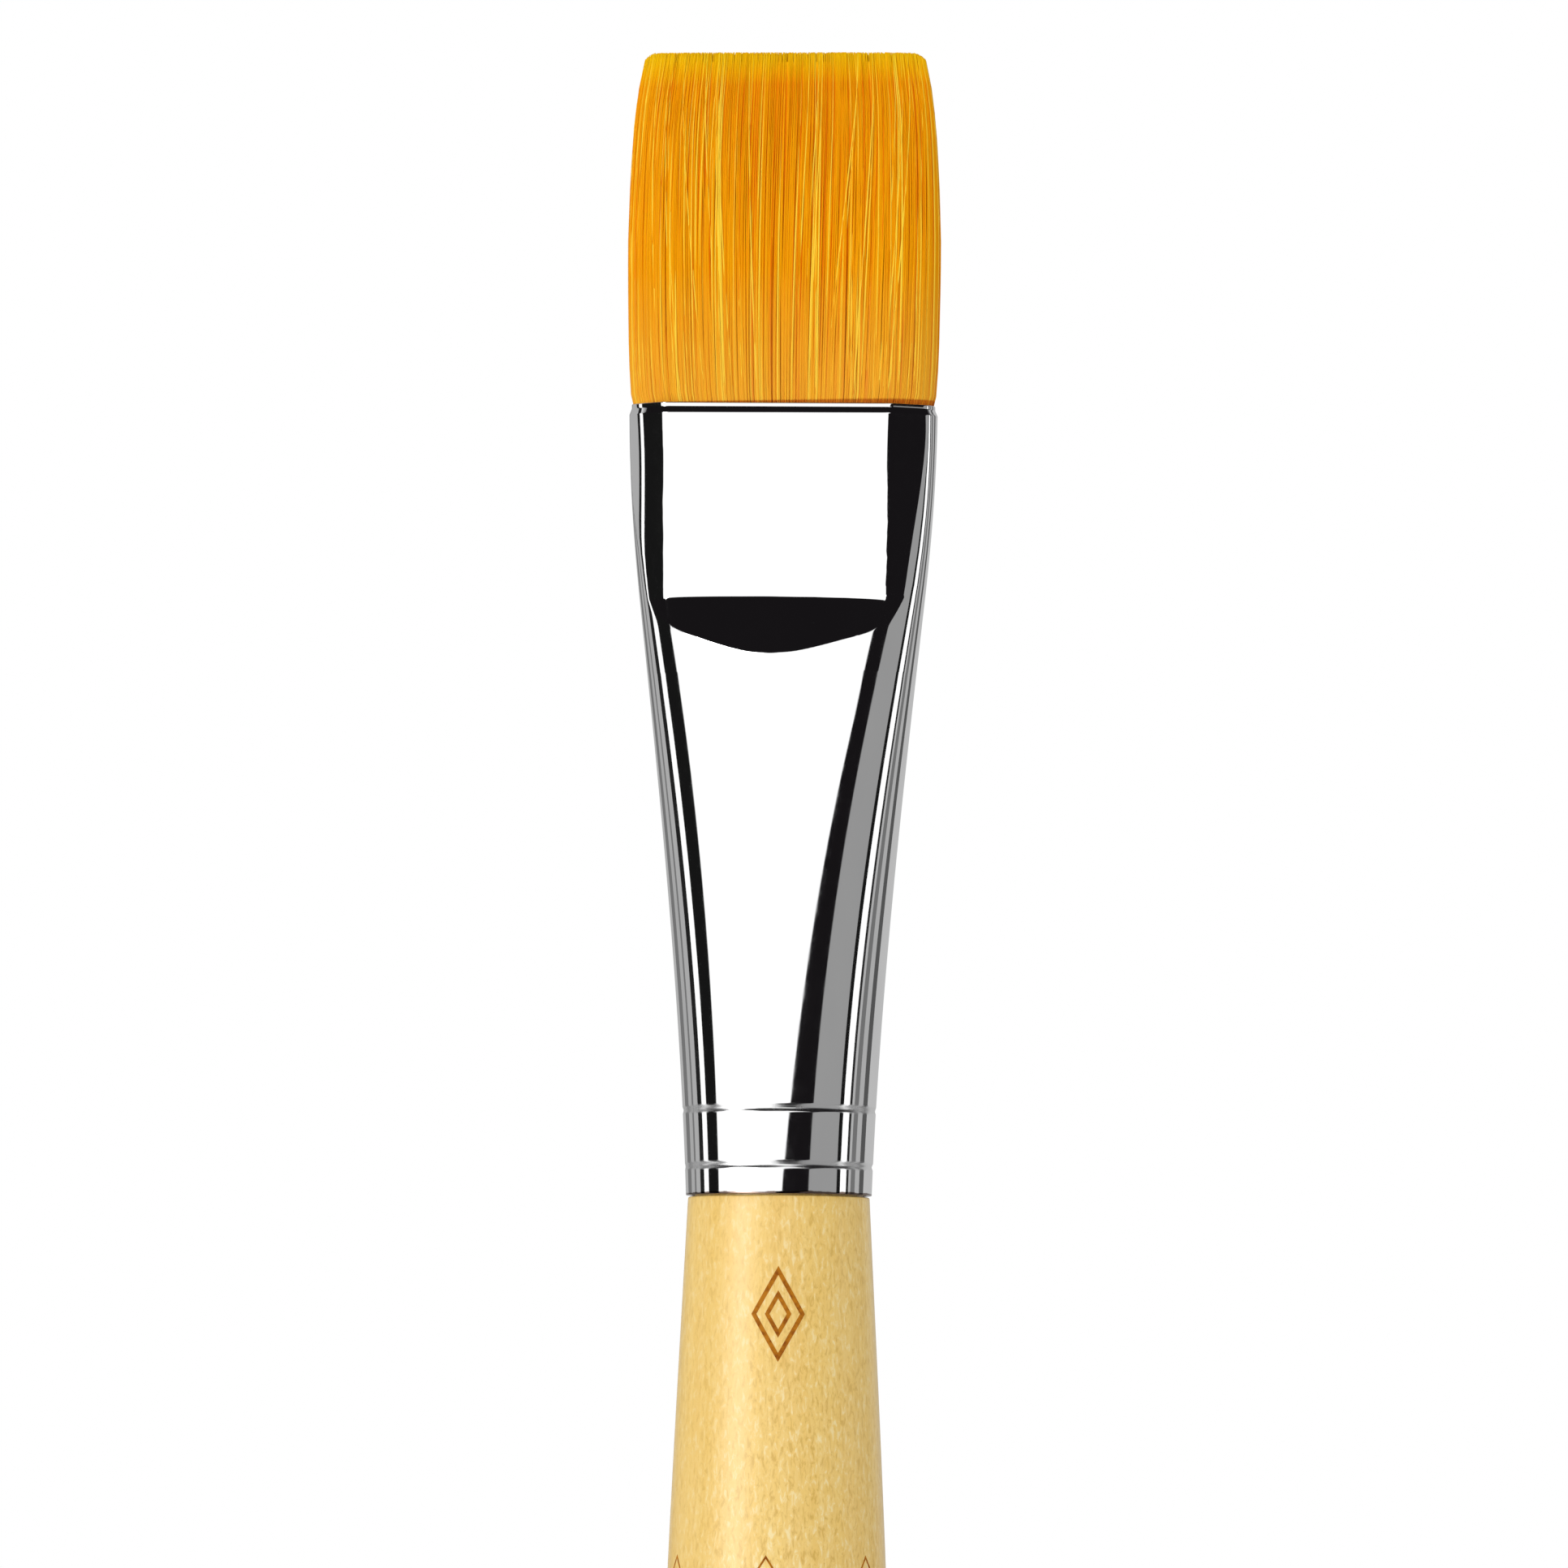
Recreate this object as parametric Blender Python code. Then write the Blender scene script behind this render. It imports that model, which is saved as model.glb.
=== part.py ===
"""Flat wash paint brush: a turned wooden handle, a plated ferrule pressed flat at its mouth, and a square-cut
filament tuft, with the glue, resin and binding thread that hold them together.

Metres, +Z up. +Z runs along the brush from the handle's tail to the tuft, X is across the tuft's width and Y is
through its thickness, with -Y the front. The origin is on the axis at the thickest part of the handle, the grip.
"""

import math

import bmesh
import bpy

MM = 0.001

# Ferrule: round at its base, wide and flat at its mouth.
FERRULE_LENGTH = 52.3 * MM
BASE_RADIUS = 6.12 * MM
FLAT_BOTTOM_HALF_WIDTH = 9.57 * MM
MOUTH_HALF_WIDTH = 10.37 * MM
BASE_SPREAD = 0.035
FLAT_BOTTOM_SPREAD = 0.115
MOUTH_EQUAL_RADIUS = 7.86 * MM
WALL = 0.30 * MM
FLAT_LENGTH = 12.8 * MM
FLAT_HALF_THICKNESS = 2.5 * MM
SHOULDER_SLOPE = 0.55
CRIMP_HEIGHTS = (1.9 * MM, 5.6 * MM)
CRIMP_HALF_WIDTH = 0.45 * MM
CRIMP_DEPTH = 0.14 * MM
CURL_HEIGHT = 0.45 * MM
CURL_DEPTH = 0.14 * MM
RIM_ROUNDING = 0.10 * MM
# Heights of the sections that carry the flare, closest together where the dies' slope starts.
FLARE_HEIGHTS = tuple(height * MM for height in (9, 13, 17, 21, 25, 28, 31, 33, 34.5, 35.5, 36.5, 37.5, 38.5))

# Handle: a fat belly below the ferrule, then a long taper to a domed tail.
SHOULDER_RADIUS = 5.98 * MM
SHOULDER_SPREAD = 0.05
BELLY_RADIUS = 7.8 * MM
BELLY_DEPTH = 50.0 * MM
TAIL_RADIUS = 3.3 * MM
TAIL_SPREAD = -0.035
TAIL_DEPTH = 131.2 * MM
TAIL_DOME = 3.3 * MM
TENON_RADIUS = 5.55 * MM
TENON_LENGTH = 18.0 * MM
TENON_CHAMFER = 0.8 * MM

# Filament bundle: clamped in the ferrule and bound near its roots. What shows is the tuft.
TUFT_LENGTH = 23.2 * MM
# Share of the tuft's length, half width and half depth.
TUFT_OUTLINE = (
    (0.00, 9.90 * MM, 2.10 * MM),
    (0.04, 10.27 * MM, 2.24 * MM),
    (0.09, 10.33 * MM, 2.36 * MM),
    (0.15, 10.40 * MM, 2.45 * MM),
    (0.30, 10.55 * MM, 2.42 * MM),
    (0.46, 10.60 * MM, 2.25 * MM),
    (0.65, 10.45 * MM, 1.85 * MM),
    (0.80, 10.21 * MM, 1.40 * MM),
    (0.90, 9.97 * MM, 1.05 * MM),
    (0.96, 9.65 * MM, 0.85 * MM),
    (0.985, 9.40 * MM, 0.75 * MM),
    (1.00, 9.10 * MM, 0.65 * MM),
)
SECTION_FULLNESS = 1.36
ROOT_HEIGHT = 31.5 * MM
WAIST_INSET = 0.95 * MM
WAIST_TOP = 36.0 * MM
SPREAD_TOP = 39.0 * MM

# The tuft bends about a line across its width, a sixth of the way up, as a clamped blade does.
FLEX_HEIGHT = 3.5 * MM
FLEX_RADIUS = 2.45 * MM
LIP_DROP = 1.52 * MM
FLEX_GAP = 0.08 * MM

# Resin plug, binding thread and tenon glue.
PLUG_BOTTOM, PLUG_TOP = 28.0 * MM, 37.5 * MM
THREAD_RADIUS = 0.16 * MM
THREAD_PITCH = 0.42 * MM
THREAD_TURNS = 3
THREAD_BOTTOM = 33.0 * MM
FIT_GAP = 0.1 * MM
THREAD_GAP = 0.06 * MM

RING_POINTS = 48
TURNED_STEPS = 48
THREAD_POINTS_PER_TURN = 28

FLAT_BOTTOM = FERRULE_LENGTH - FLAT_LENGTH
BASE_Z = BELLY_DEPTH
MOUTH_Z = BASE_Z + FERRULE_LENGTH
FLEX_Z = MOUTH_Z + FLEX_HEIGHT


def smoothstep(share):
    share = min(max(share, 0.0), 1.0)
    return share * share * (3.0 - 2.0 * share)


def hermite(share, start, end, start_slope, end_slope):
    """Cubic from start to end. The slopes are per unit of share."""
    squared, cubed = share**2, share**3
    return (
        (2 * cubed - 3 * squared + 1) * start
        + (cubed - 2 * squared + share) * start_slope
        + (3 * squared - 2 * cubed) * end
        + (cubed - squared) * end_slope
    )


def crimp(height):
    """How far the two crimped rings press the wall in at a height above the ferrule's base."""
    pressed = 0.0
    for centre in CRIMP_HEIGHTS:
        share = abs(height - centre) / CRIMP_HALF_WIDTH
        if share < 1.0:
            pressed = CRIMP_DEPTH * (1.0 + math.cos(math.pi * share)) / 2.0
    return pressed


def flat_loop(half_width, ellipse_depth, limit, z):
    """An ellipse in XY whose front and back are pressed flat at +-limit."""
    loop = []
    for i in range(RING_POINTS):
        turn = 2.0 * math.pi * i / RING_POINTS
        y = ellipse_depth * math.sin(turn)
        loop.append((half_width * math.cos(turn), min(max(y, -limit), limit), z))
    return loop


def ferrule_half_width(height):
    """The flare, ever steeper up to the bottom of the flats and easing off to the mouth."""
    if height < FLAT_BOTTOM:
        slopes = (BASE_SPREAD * FLAT_BOTTOM, FLAT_BOTTOM_SPREAD * FLAT_BOTTOM)
        return hermite(height / FLAT_BOTTOM, BASE_RADIUS, FLAT_BOTTOM_HALF_WIDTH, *slopes)
    share = (height - FLAT_BOTTOM) / FLAT_LENGTH
    return hermite(share, FLAT_BOTTOM_HALF_WIDTH, MOUTH_HALF_WIDTH, FLAT_BOTTOM_SPREAD * FLAT_LENGTH, 0.0)


def ferrule_loop(height, inset=0.0):
    """The ferrule's outer section at a height above its base, moved in by inset.

    The tube's girth grows evenly towards the mouth, so its depth follows from its width. A pair of flat dies
    presses the mouth, and the slope below them runs out into the round part.
    """
    half_width = ferrule_half_width(height)
    growth = (MOUTH_EQUAL_RADIUS - BASE_RADIUS) * height / FERRULE_LENGTH
    half_depth = math.sqrt(2.0 * (BASE_RADIUS + growth) ** 2 - half_width**2)
    limit = FLAT_HALF_THICKNESS + max(0.0, FLAT_BOTTOM - height) * SHOULDER_SLOPE
    inset += crimp(height)
    return flat_loop(half_width - inset, half_depth - inset, limit - inset, BASE_Z + height)


def round_loop(radius, z):
    return flat_loop(radius, radius, radius, z)


def tuft_loop(share, half_width, half_depth):
    return flat_loop(half_width, half_depth * SECTION_FULLNESS, half_depth, MOUTH_Z + share * TUFT_LENGTH)


def material(name, colour, roughness, metallic=0.0):
    made = bpy.data.materials.new(name)
    made.use_nodes = True
    shader = made.node_tree.nodes["Principled BSDF"]
    shader.inputs["Base Color"].default_value = (*colour, 1.0)
    shader.inputs["Roughness"].default_value = roughness
    shader.inputs["Metallic"].default_value = metallic
    return made


def add_object(name, data, finish, z=0.0):
    made = bpy.data.objects.new(name, data)
    made.location.z = z
    bpy.context.scene.collection.objects.link(made)
    made.data.materials.append(finish)
    return made


def skin(name, loops, finish, tube=False, z=0.0):
    """A closed solid through the loops in order. A tube joins the last loop to the first, anything else is capped.

    z is where the object's origin goes on the axis. The loops are in world coordinates.
    """
    shape = bmesh.new()
    rings = [[shape.verts.new((x, y, height - z)) for x, y, height in loop] for loop in loops]
    pairs = list(zip(rings, rings[1:]))
    if tube:
        pairs.append((rings[-1], rings[0]))
    for low, high in pairs:
        for i in range(len(low)):
            j = (i + 1) % len(low)
            shape.faces.new((low[i], low[j], high[j], high[i]))
    if not tube:
        shape.faces.new(list(reversed(rings[0])))
        shape.faces.new(rings[-1])
    bmesh.ops.recalc_face_normals(shape, faces=shape.faces)
    mesh = bpy.data.meshes.new(name)
    shape.to_mesh(mesh)
    shape.free()
    mesh.shade_smooth()
    mesh.set_sharp_from_angle(angle=math.radians(25))
    return add_object(name, mesh, finish, z)


def handle_profile():
    """(radius, z) down the handle's outer side, from the middle of the tenon's end to the tail's tip."""
    top = BASE_Z + TENON_LENGTH
    profile = [(0.0, top), (TENON_RADIUS - TENON_CHAMFER, top), (TENON_RADIUS, top - TENON_CHAMFER)]
    for centre in reversed(CRIMP_HEIGHTS):
        for share in (1.0, 0.5, 0.0, -0.5, -1.0):
            height = centre + share * CRIMP_HALF_WIDTH
            profile.append((TENON_RADIUS - crimp(height), BASE_Z + height))
    shoulder = BASE_Z - FIT_GAP
    profile.append((TENON_RADIUS, shoulder))
    belly_steps, taper_steps, dome_steps = 8, 13, 5
    for i in range(belly_steps):
        share = i / belly_steps
        slope = SHOULDER_SPREAD * BELLY_DEPTH
        radius = hermite(share, SHOULDER_RADIUS, BELLY_RADIUS, slope, 0.0)
        profile.append((radius, shoulder * (1.0 - share)))
    for i in range(taper_steps):
        share = i / taper_steps
        taper = TAIL_DEPTH - BELLY_DEPTH
        radius = hermite(share, BELLY_RADIUS, TAIL_RADIUS, 0.0, TAIL_SPREAD * taper)
        profile.append((radius, -taper * share))
    for i in range(dome_steps + 1):
        turn = math.pi / 2.0 * i / dome_steps
        z = BELLY_DEPTH - TAIL_DEPTH - TAIL_DOME * math.sin(turn)
        profile.append((TAIL_RADIUS * math.cos(turn), z))
    profile[-1] = (0.0, profile[-1][1])
    return profile


def build_handle(finish):
    """The handle, turned from one piece with the tenon that goes into the ferrule."""
    profile = handle_profile()
    mesh = bpy.data.meshes.new("handle")
    points = [(radius, 0.0, z) for radius, z in profile]
    mesh.from_pydata(points, [(i, i + 1) for i in range(len(points) - 1)], [])
    made = add_object("handle", mesh, finish)
    turned = made.modifiers.new("turned", "SCREW")
    turned.steps = turned.render_steps = TURNED_STEPS
    turned.use_merge_vertices = True
    turned.merge_threshold = 0.00001
    turned.use_smooth_shade = True
    return made


def build_ferrule(finish):
    """The seamless plated tube, with a curled base edge, two crimps and a rounded rim."""
    crimps = [
        centre + share * CRIMP_HALF_WIDTH
        for centre in CRIMP_HEIGHTS
        for share in (-1.0, -0.5, 0.0, 0.5, 1.0)
    ]
    flat = [FLAT_BOTTOM + FLAT_LENGTH * share for share in (0.0, 0.2, 0.4, 0.6, 0.8)]
    flat.append(FERRULE_LENGTH - RIM_ROUNDING)
    outer = [ferrule_loop(0.0, CURL_DEPTH), ferrule_loop(CURL_HEIGHT / 3, CURL_DEPTH / 3)]
    outer += [ferrule_loop(height) for height in [CURL_HEIGHT, *crimps, *FLARE_HEIGHTS, *flat]]
    rim = ferrule_loop(FERRULE_LENGTH, RIM_ROUNDING)
    inner = [ferrule_loop(height, WALL) for height in reversed([0.0, *crimps, *FLARE_HEIGHTS, *flat])]
    inner_rim = ferrule_loop(FERRULE_LENGTH, WALL - RIM_ROUNDING / 2)
    return skin("ferrule", outer + [rim, inner_rim] + inner, finish, tube=True)


def build_tenon_glue(finish):
    """The glue that fills the space between the tenon and the ferrule."""
    bottom, top = 0.3 * MM, TENON_LENGTH - TENON_CHAMFER - 0.4 * MM
    heights = [bottom]
    for centre in CRIMP_HEIGHTS:
        heights += [centre + share * CRIMP_HALF_WIDTH for share in (-1.0, -0.5, 0.0, 0.5, 1.0)]
    heights += [9.0 * MM, 13.0 * MM, top]
    outer = [ferrule_loop(height, WALL + FIT_GAP) for height in heights]
    inner = [
        round_loop(TENON_RADIUS + FIT_GAP - crimp(height), BASE_Z + height) for height in reversed(heights)
    ]
    return skin("tenon_glue", outer + inner, finish, tube=True)


def waist(height):
    """How far the bound roots stand in from the ferrule's inner wall."""
    share = smoothstep((height - WAIST_TOP) / (SPREAD_TOP - WAIST_TOP))
    return WAIST_INSET + (2.0 * FIT_GAP - WAIST_INSET) * share


def bundle_loops():
    """The whole filament bundle, from the cut roots in the resin to the square-cut tip."""
    heights = (31.5, 33.0, 34.5, 36.0, 37.0, 38.0, 39.0, 39.5, 45.0, 50.0)
    inside = [ferrule_loop(height * MM, WALL + waist(height * MM)) for height in heights]
    return inside + [tuft_loop(*station) for station in TUFT_OUTLINE]


def yz_prism(name, outline):
    """A cutter: an outline in the YZ plane, drawn out along X past both sides of the tuft."""
    reach = 1.5 * MOUTH_HALF_WIDTH
    shape = bmesh.new()
    face = shape.faces.new([shape.verts.new((-reach, y, z)) for y, z in outline])
    drawn = bmesh.ops.extrude_face_region(shape, geom=[face])
    corners = [item for item in drawn["geom"] if isinstance(item, bmesh.types.BMVert)]
    bmesh.ops.translate(shape, verts=corners, vec=(2.0 * reach, 0.0, 0.0))
    bmesh.ops.recalc_face_normals(shape, faces=shape.faces)
    mesh = bpy.data.meshes.new(name)
    shape.to_mesh(mesh)
    shape.free()
    made = bpy.data.objects.new(name, mesh)
    made.hide_render = True
    made.display_type = "WIRE"
    bpy.context.scene.collection.objects.link(made)
    return made


def cradle_outline(radius, lip_drop):
    """A box above the flex line with a round underside of this radius about it, flat from lip_drop outwards."""
    side, top = 2.0 * FLEX_RADIUS, MOUTH_Z + 1.2 * TUFT_LENGTH
    start = math.asin(lip_drop / radius)
    arc = [start + (math.pi - 2.0 * start) * i / 16 for i in range(17)]
    outline = [(side, top), (side, FLEX_Z - lip_drop)]
    outline += [(radius * math.cos(turn), FLEX_Z - radius * math.sin(turn)) for turn in arc]
    return outline + [(-side, FLEX_Z - lip_drop), (-side, top)]


def cut(target, cutter, operation):
    made = target.modifiers.new(cutter.name, "BOOLEAN")
    made.object = cutter
    made.operation = operation
    made.solver = "EXACT"


def build_roots(finish):
    """The part of the bundle that is clamped in the ferrule, with the cradle that the tuft bends in."""
    roots = skin("filament_roots", bundle_loops(), finish)
    cut(roots, yz_prism("root_cutter", cradle_outline(FLEX_RADIUS + FLEX_GAP, LIP_DROP)), "DIFFERENCE")


def build_tuft(finish):
    """The part of the bundle that bends, with its origin on the flex line."""
    tuft = skin("filament_tuft", bundle_loops(), finish, z=FLEX_Z)
    cut(tuft, yz_prism("tuft_limit", cradle_outline(FLEX_RADIUS, 0.0)), "INTERSECT")


def build_plug(finish):
    """The resin cast round the bound roots: a cup that fills the ferrule, open towards the tuft."""
    heights = [height for height in FLARE_HEIGHTS if PLUG_BOTTOM <= height <= PLUG_TOP]
    outer = [ferrule_loop(height, WALL + FIT_GAP) for height in heights]
    groove_bottom = THREAD_BOTTOM - 2.0 * THREAD_RADIUS
    groove_top = THREAD_BOTTOM + THREAD_TURNS * THREAD_PITCH + 2.0 * THREAD_RADIUS
    groove = 2.0 * THREAD_RADIUS + 2.0 * THREAD_GAP
    cavity = [
        (ROOT_HEIGHT - FIT_GAP, 0.0),
        (groove_bottom, 0.0),
        (groove_bottom, groove),
        (groove_top, groove),
        (groove_top, 0.0),
        (WAIST_TOP, 0.0),
        (37.0 * MM, 0.0),
        (PLUG_TOP, 0.0),
    ]
    inner = [
        ferrule_loop(height, WALL + waist(height) - FIT_GAP - widened) for height, widened in reversed(cavity)
    ]
    return skin("resin_plug", outer + inner, finish)


def build_thread(finish):
    """The thread wound round the roots before they go into the ferrule."""
    curve = bpy.data.curves.new("binding_thread", "CURVE")
    curve.dimensions = "3D"
    curve.bevel_depth = THREAD_RADIUS
    curve.bevel_resolution = 1
    curve.use_fill_caps = True
    count = THREAD_TURNS * THREAD_POINTS_PER_TURN + 1
    spline = curve.splines.new("POLY")
    spline.points.add(count - 1)
    for i in range(count):
        height = THREAD_BOTTOM + THREAD_PITCH * i / THREAD_POINTS_PER_TURN
        inset = WALL + waist(height) - THREAD_GAP - THREAD_RADIUS
        loop = ferrule_loop(height, inset)
        place = (i / THREAD_POINTS_PER_TURN % 1.0) * len(loop)
        first, share = loop[int(place)], place % 1.0
        second = loop[(int(place) + 1) % len(loop)]
        x, y = (first[k] + (second[k] - first[k]) * share for k in range(2))
        spline.points[i].co = (x, y, BASE_Z + height, 1.0)
    return add_object("binding_thread", curve, finish)


def main():
    for old in list(bpy.data.objects):
        bpy.data.objects.remove(old)
    build_handle(material("wood", (0.80, 0.58, 0.27), 0.45))
    build_ferrule(material("plated_metal", (0.82, 0.82, 0.83), 0.08, 1.0))
    build_tenon_glue(material("glue", (0.75, 0.68, 0.48), 0.4))
    build_plug(material("resin", (0.62, 0.42, 0.16), 0.25))
    build_thread(material("thread", (0.80, 0.77, 0.70), 0.9))
    build_roots(material("bound_filament", (0.70, 0.30, 0.02), 0.4))
    build_tuft(material("filament", (0.80, 0.34, 0.01), 0.35))


main()
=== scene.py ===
"""Looks of the flat wash brush: a plated ferrule, a tuft of separate filaments and a satin wooden handle.

Metres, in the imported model's frame. +Z runs from the handle's tail to the tuft, X is across the tuft, and
-Y is the front. Azimuths are in degrees round the brush, from the front towards +X.
"""

import math

import bpy
import numpy as np
from mathutils import Matrix, Vector


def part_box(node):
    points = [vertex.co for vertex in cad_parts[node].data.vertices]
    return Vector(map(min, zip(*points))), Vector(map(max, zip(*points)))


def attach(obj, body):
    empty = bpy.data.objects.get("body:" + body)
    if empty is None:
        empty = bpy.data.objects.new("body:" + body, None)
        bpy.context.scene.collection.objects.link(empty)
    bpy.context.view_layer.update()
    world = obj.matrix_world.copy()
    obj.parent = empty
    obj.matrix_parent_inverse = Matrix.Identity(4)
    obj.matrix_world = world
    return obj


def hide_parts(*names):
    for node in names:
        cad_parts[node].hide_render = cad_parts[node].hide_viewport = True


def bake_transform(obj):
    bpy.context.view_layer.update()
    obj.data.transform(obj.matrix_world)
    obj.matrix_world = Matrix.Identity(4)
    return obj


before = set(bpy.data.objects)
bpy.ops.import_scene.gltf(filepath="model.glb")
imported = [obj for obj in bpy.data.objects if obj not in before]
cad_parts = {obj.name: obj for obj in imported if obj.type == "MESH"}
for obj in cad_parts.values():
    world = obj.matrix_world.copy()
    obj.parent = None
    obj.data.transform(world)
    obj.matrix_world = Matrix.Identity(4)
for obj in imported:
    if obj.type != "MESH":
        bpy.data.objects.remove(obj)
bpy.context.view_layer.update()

MM = 0.001
BODY, TUFT = "brush_body", "tuft"

# Heights and sizes that the frame gives.
BASE_Z, MOUTH_Z = (corner.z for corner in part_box("ferrule"))
TAIL_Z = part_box("handle")[0].z
TIP_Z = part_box("filament_tuft")[1].z
ROOT_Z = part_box("filament_roots")[0].z
BASE_TO_MOUTH = 0.5902
MOUTH_HALF_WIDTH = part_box("ferrule")[1].x
BASE_RADIUS = MOUTH_HALF_WIDTH * BASE_TO_MOUTH
BELLY_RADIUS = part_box("handle")[1].x
FERRULE_LENGTH = MOUTH_Z - BASE_Z
TUFT_LENGTH = TIP_Z - MOUTH_Z

# Ferrule: its flare. A spread is how fast the half width grows with height.
FLAT_LENGTH = 12.93 * MM
FLAT_BOTTOM = FERRULE_LENGTH - FLAT_LENGTH
FLAT_BOTTOM_HALF_WIDTH = 9.57 * MM
BASE_SPREAD = 0.035
FLAT_BOTTOM_SPREAD = 0.115
MOUTH_EQUAL_RADIUS = 7.86 * MM
WALL = 0.30 * MM

# Ferrule: what the dies press into it. The flat's thicknesses are at its bottom and at the mouth.
FLAT_HALF_THICKNESSES = (2.64 * MM, 2.52 * MM)
FACET_HALF_WIDTH = 7.34 * MM
FACET_WIDENING = 0.28 * MM
FACET_WIDENING_POWER = 8
SHOULDER_SLOPE = 0.58
SHOULDER_LEAST_SLOPE = 0.12
SHOULDER_DISH = 0.40
SHOULDER_ARCH = 0.10 * MM
SHOULDER_SKEW = 0.02
CHAMFER_SLOPE = 0.58
CHAMFER_FADE = 0.12
CHAMFER_ROLL = 0.0044
CHAMFER_ROLL_POWER = 5
CHAMFER_ROLL_REACH = 2.18
CREASE_SOFTNESS = 0.05 * MM
MOUTH_SKEW = 0.019
SKEW_START = MOUTH_Z - 3.0 * MM

# Ferrule: its crimped rings, base and lip.
# Each unevenness is (share of the depth, waves round, turn per metre).
CRIMP_HEIGHTS = (1.9 * MM, 5.6 * MM)
CRIMP_HALF_WIDTH = 0.27 * MM
CRIMP_DEPTH = 0.058 * MM
CRIMP_UNEVENNESS = ((0.30, 3.0, 900.0), (0.20, 11.0, 0.0))
CURL_HEIGHT = 0.05 * MM
CURL_DEPTH = 0.03 * MM
LIP_STEP = 0.16 * MM

# Handle, as in the CAD part.
SHOULDER_RADIUS = 5.98 * MM
SHOULDER_SPREAD = 0.05
SHOULDER_EDGE = 0.12 * MM
SHOULDER_GAP = 0.1 * MM
TAIL_RADIUS = 3.3 * MM
TAIL_SPREAD = -0.035
TAIL_DOME = 3.3 * MM
TENON_RADIUS = 5.55 * MM
TENON_LENGTH = 18.0 * MM
TENON_CHAMFER = 0.8 * MM

# Tuft: (share of its length, half width and half depth in millimetres). It is within 0.1 mm of the CAD part
# up to its corners, which are left to the cut here.
TUFT_OUTLINE = (
    (-0.05, 9.80, 2.00),
    (0.00, 9.93, 2.08),
    (0.03, 10.24, 2.26),
    (0.09, 10.33, 2.36),
    (0.15, 10.40, 2.42),
    (0.30, 10.47, 2.40),
    (0.46, 10.51, 2.24),
    (0.65, 10.40, 1.85),
    (0.80, 10.20, 1.40),
    (0.90, 9.95, 1.05),
    (0.95, 9.71, 0.88),
    (1.00, 9.48, 0.70),
)
SECTION_FULLNESS = 1.36
SECTION_SOFTNESS = 0.25
CORNER_RADIUS = 1.0 * MM
CORNER_REACH = 9.78 * MM
CUT_Z = TIP_Z + 0.29 * MM

# The camera. It sees the brush from a little to its right and from below its middle.
VIEW_AZIMUTH = 11.0
VIEW_ELEVATION = -3.8
VIEW_DISTANCE = 0.70
VIEW_HEIGHT = 103.6 * MM
VIEW_CENTRE_ABOVE_BASE = 27.2 * MM
VIEW_SHIFT_RIGHT = 0.19 * MM
VIEW_ROLL = 0.32
SENSOR = 36.0


def smoothstep(share):
    share = np.clip(share, 0.0, 1.0)
    return share * share * (3.0 - 2.0 * share)


def hermite(share, start, end, start_slope, end_slope):
    """Cubic from start to end. The slopes are per unit of share."""
    squared, cubed = share**2, share**3
    return (
        (2 * cubed - 3 * squared + 1) * start
        + (cubed - 2 * squared + share) * start_slope
        + (3 * squared - 2 * cubed) * end
        + (cubed - squared) * end_slope
    )


def soft_min(first, second, softness):
    """The smaller of two, with the crease between them rounded."""
    share = np.clip(0.5 + 0.5 * (second - first) / softness, 0.0, 1.0)
    return second + (first - second) * share - softness * share * (1.0 - share)


def skewed(points):
    """Points moved so that the mouth, and the tuft in it, stand a touch lower towards +X."""
    points = np.array(points, float).reshape(-1, 3)
    up = smoothstep((points[:, 2] - SKEW_START) / (MOUTH_Z - SKEW_START))
    points[:, 2] -= MOUTH_SKEW * points[:, 0] * up
    return points


def mesh_object(name, points, faces, smooth=True):
    mesh = bpy.data.meshes.new(name)
    mesh.from_pydata(np.asarray(points, float).reshape(-1, 3).tolist(), [], faces)
    mesh.update()
    if smooth:
        mesh.shade_smooth()
    made = bpy.data.objects.new(name, mesh)
    bpy.context.scene.collection.objects.link(made)
    return made


def ring_faces(rings, sides, closed=False, first=0):
    """Quads between rings of points that follow each other. Closed joins the last ring to the first."""
    faces = []
    for ring in range(rings if closed else rings - 1):
        low = first + ring * sides
        high = first + (ring + 1) % rings * sides
        for side in range(sides):
            after = (side + 1) % sides
            faces.append((low + side, low + after, high + after, high + side))
    return faces


def finish_piece(piece, material, body=None, replaced=()):
    """Gives a new piece its material, its body and the CAD nodes that it stands for."""
    piece.data.materials.clear()
    piece.data.materials.append(material)
    if replaced:
        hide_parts(*replaced)
    if body:
        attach(piece, body)
    return piece


# Node trees ---------------------------------------------------------------------------------------


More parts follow.
